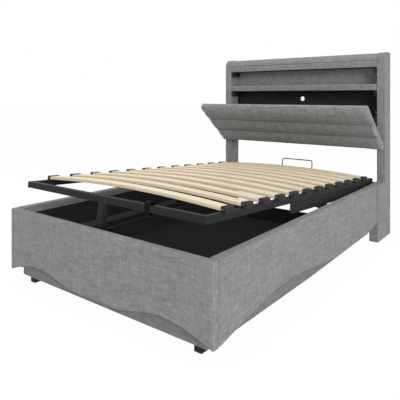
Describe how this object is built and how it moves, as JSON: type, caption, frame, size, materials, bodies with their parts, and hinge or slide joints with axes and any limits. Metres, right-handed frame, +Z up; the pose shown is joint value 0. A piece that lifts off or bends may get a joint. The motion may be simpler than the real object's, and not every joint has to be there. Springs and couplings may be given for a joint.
{
  "type": "bed with storage headboard",
  "caption": "Upholstered double bed with a lift-up sprung-slat platform over a storage box and a headboard with an open shelf and a padded drop-front flap.",
  "frame": {"origin": "on the floor at the middle of the bed's footprint", "axes": "+X to the side shown at the right in the picture, +Y from the foot end to the headboard, +Z up"},
  "size_m": [1.485, 2.136, 1.374],
  "materials": {
    "grey_fabric": "slubby grey linen-like weave over board and padding",
    "flap_fabric": "grey weave sewn in channels over padding",
    "black_board": "matt black faced board",
    "floor_cloth": "board faced with dark grey cloth",
    "plinth_board": "board wrapped in grey fabric",
    "dark_steel": "satin black powder coat",
    "grey_steel": "dark grey powder coat",
    "zinc_steel": "zinc plated",
    "rod_chrome": "polished",
    "beech": "clear lacquered beech veneer",
    "bearer_wood": "sawn softwood",
    "black_plastic": "moulded, lightly ribbed",
    "strap_web": "woven webbing"
  },
  "bodies": {
    "bed_base": {"footboard": "grey_fabric", "side_rail_left": "grey_fabric", "side_rail_right": "grey_fabric", "box_linings": "black_board", "plinth_front": "plinth_board", "plinth_sides": "plinth_board", "storage_floor_foot": "floor_cloth", "storage_floor_head": "floor_cloth", "floor_bearers": "bearer_wood", "end_board": "black_board", "block_feet": "black_plastic", "rail_stiffener_left": "grey_steel", "rail_stiffener_right": "grey_steel", "post_left": "grey_fabric", "post_right": "grey_fabric", "top_rail": "grey_fabric", "shelf": "grey_fabric", "compartment_floor": "grey_fabric", "board_cleats": "black_board", "shelf_back": "grey_fabric", "compartment_back": "black_board", "cable_grommet": "black_plastic", "stretcher": "black_board", "lift_bracket_left": "grey_steel", "lift_bracket_right": "grey_steel", "pivot_pins": "zinc_steel", "base_bolts": "grey_steel", "flap_hinge_fixed": "grey_steel", "stay_pins": "zinc_steel"},
    "slat_platform": {"side_bar_left": "dark_steel", "side_bar_right": "dark_steel", "front_bar": "dark_steel", "rear_bar": "dark_steel", "lift_arm_left": "dark_steel", "lift_arm_right": "dark_steel", "strut_studs": "zinc_steel", "slat_1": "beech", "slat_2": "beech", "slat_3": "beech", "slat_4": "beech", "slat_5": "beech", "slat_6": "beech", "slat_7": "beech", "slat_8": "beech", "slat_9": "beech", "slat_10": "beech", "slat_11": "beech", "slat_12": "beech", "slat_holders_left": "black_plastic", "slat_holders_right": "black_plastic", "mattress_hoop": "dark_steel", "centre_leg": "dark_steel", "pull_strap": "strap_web"},
    "headboard_flap": {"flap_board": "black_board", "flap_pad": "flap_fabric", "flap_hinge_moving": "grey_steel"},
    "gas_strut_tubes": {"strut_tubes": "dark_steel"},
    "gas_strut_rods": {"strut_rods": "rod_chrome"},
    "flap_stay_tubes": {"stay_tubes": "dark_steel"},
    "flap_stay_rods": {"stay_rods": "rod_chrome"}
  },
  "joints": [
    {"name": "platform_lift", "type": "hinge", "parent": "bed_base", "child": "slat_platform", "pos_m": [0, 0.732, 0.384], "axis": [-1, 0, 0], "range_deg": [-3.82, 34]},
    {"name": "strut_swing", "type": "hinge", "parent": "bed_base", "child": "gas_strut_tubes", "pos_m": [0, 0.632, 0.259], "axis": [-1, 0, 0], "range_deg": [-4.1, 35.4]},
    {"name": "strut_slide", "type": "slide", "parent": "gas_strut_tubes", "child": "gas_strut_rods", "axis": [0, -0.973, 0.2307], "range_m": [-0.011, 0.0935]},
    {"name": "flap_tilt", "type": "hinge", "parent": "bed_base", "child": "headboard_flap", "pos_m": [0, 0.9475, 0.6725], "axis": [1, 0, 0], "range_deg": [-48.5, 0]},
    {"name": "stay_swing", "type": "hinge", "parent": "bed_base", "child": "flap_stay_tubes", "pos_m": [0, 0.992, 0.91785], "axis": [1, 0, 0], "range_deg": [-0.5, 26]},
    {"name": "stay_slide", "type": "slide", "parent": "flap_stay_tubes", "child": "flap_stay_rods", "axis": [0, -0.585, -0.811], "range_m": [-0.0572, 0.0005]}
  ],
  "couplings": [
    {"joint": "strut_swing", "follows": "platform_lift", "ratio": 1.0326},
    {"joint": "strut_slide", "follows": "platform_lift", "m_per_rad": 0.1563},
    {"joint": "stay_swing", "follows": "flap_tilt", "ratio": -0.52655},
    {"joint": "stay_slide", "follows": "flap_tilt", "m_per_rad": 0.066892}
  ]
}
